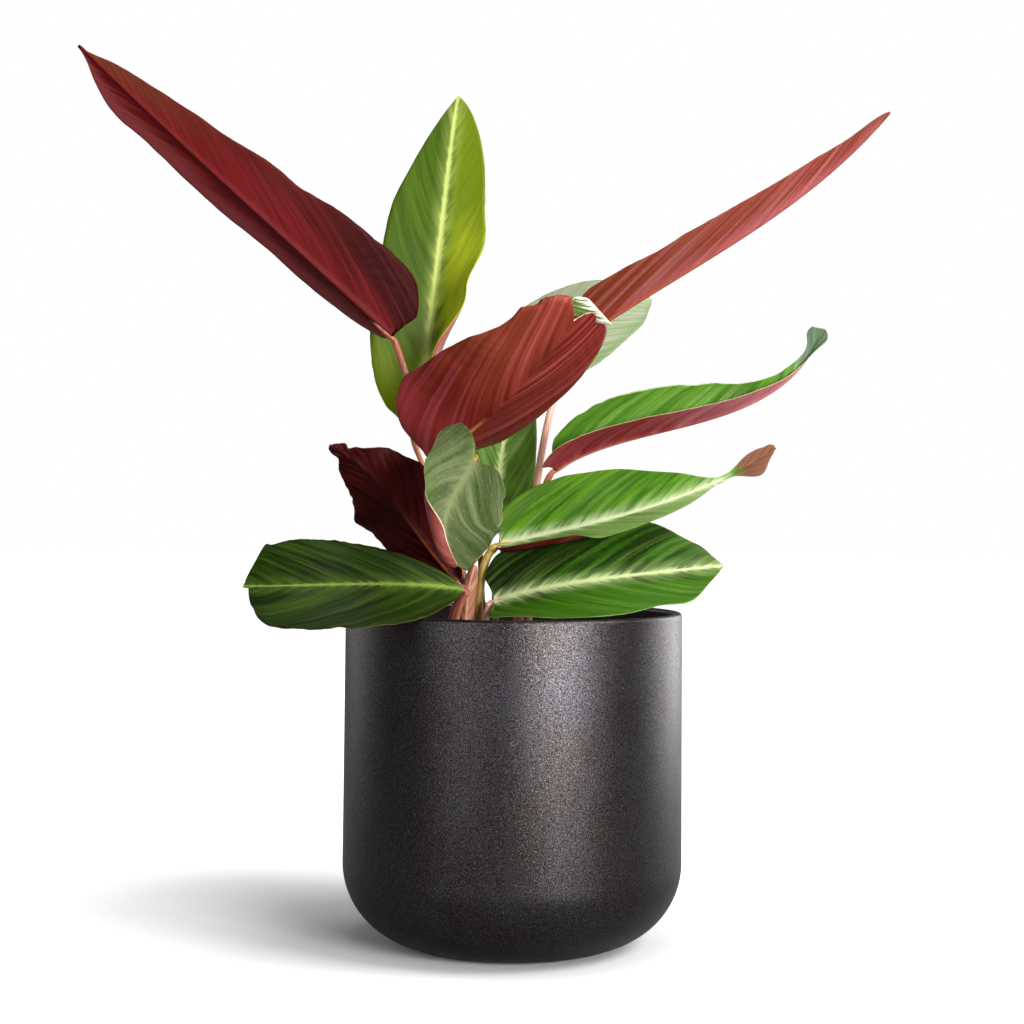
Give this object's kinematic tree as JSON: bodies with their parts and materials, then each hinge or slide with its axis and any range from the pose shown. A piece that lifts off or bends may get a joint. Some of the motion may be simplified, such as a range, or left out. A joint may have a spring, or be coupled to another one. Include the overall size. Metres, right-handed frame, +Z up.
{
  "type": "potted stromanthe",
  "caption": "Young potted stromanthe: long two-coloured leaves, green above and wine red beneath, on thin stems from soil in a grow pot inside a plain dark cover pot.",
  "frame": {"origin": "centre of the cover pot's flat underside", "axes": "+Z up out of the pot; -Y towards the side that is seen as the front; +X to that side's right"},
  "size_m": [0.3493, 0.1973, 0.3887],
  "materials": {
    "black_ceramic": "satin, fine dark metallic speckle",
    "black_plastic": "matt",
    "potting_soil": "loose dark potting mix",
    "dry_sheath": "dry, papery",
    "rolled_leaf": "satin leaf",
    "leaf_left_tall": "satin leaf",
    "stem_left_tall": "satin stem",
    "leaf_back_upright": "satin leaf",
    "stem_back_upright": "satin stem",
    "leaf_centre_red": "satin leaf",
    "stem_centre_red": "satin stem",
    "leaf_right_tall": "satin leaf",
    "stem_right_tall": "satin stem",
    "leaf_back_pale": "satin leaf",
    "stem_back_pale": "satin stem",
    "leaf_front_small": "satin leaf",
    "stem_front_small": "satin stem",
    "leaf_left_dark": "satin leaf",
    "stem_left_dark": "satin stem",
    "leaf_left_low": "satin leaf",
    "stem_left_low": "satin stem",
    "leaf_right_low": "satin leaf",
    "stem_right_low": "satin stem",
    "leaf_right_middle": "satin leaf",
    "stem_right_middle": "satin stem",
    "leaf_right_folded": "satin leaf",
    "stem_right_folded": "satin stem",
    "leaf_back_inner": "satin leaf",
    "stem_back_inner": "satin stem"
  },
  "bodies": {
    "root": {"planter": "black_ceramic", "grow_pot": "black_plastic", "soil": "potting_soil", "shoot_sheath": "dry_sheath", "shoot_spear": "rolled_leaf", "leaf_left_tall": "leaf_left_tall", "stem_left_tall": "stem_left_tall", "leaf_back_upright": "leaf_back_upright", "stem_back_upright": "stem_back_upright", "leaf_centre_red": "leaf_centre_red", "stem_centre_red": "stem_centre_red", "leaf_right_tall": "leaf_right_tall", "stem_right_tall": "stem_right_tall", "leaf_back_pale": "leaf_back_pale", "stem_back_pale": "stem_back_pale", "leaf_front_small": "leaf_front_small", "stem_front_small": "stem_front_small", "leaf_left_dark": "leaf_left_dark", "stem_left_dark": "stem_left_dark", "leaf_left_low": "leaf_left_low", "stem_left_low": "stem_left_low", "leaf_right_low": "leaf_right_low", "stem_right_low": "stem_right_low", "leaf_right_middle": "leaf_right_middle", "stem_right_middle": "stem_right_middle", "leaf_right_folded": "leaf_right_folded", "stem_right_folded": "stem_right_folded", "leaf_back_inner": "leaf_back_inner", "stem_back_inner": "stem_back_inner"}
  },
  "joints": []
}
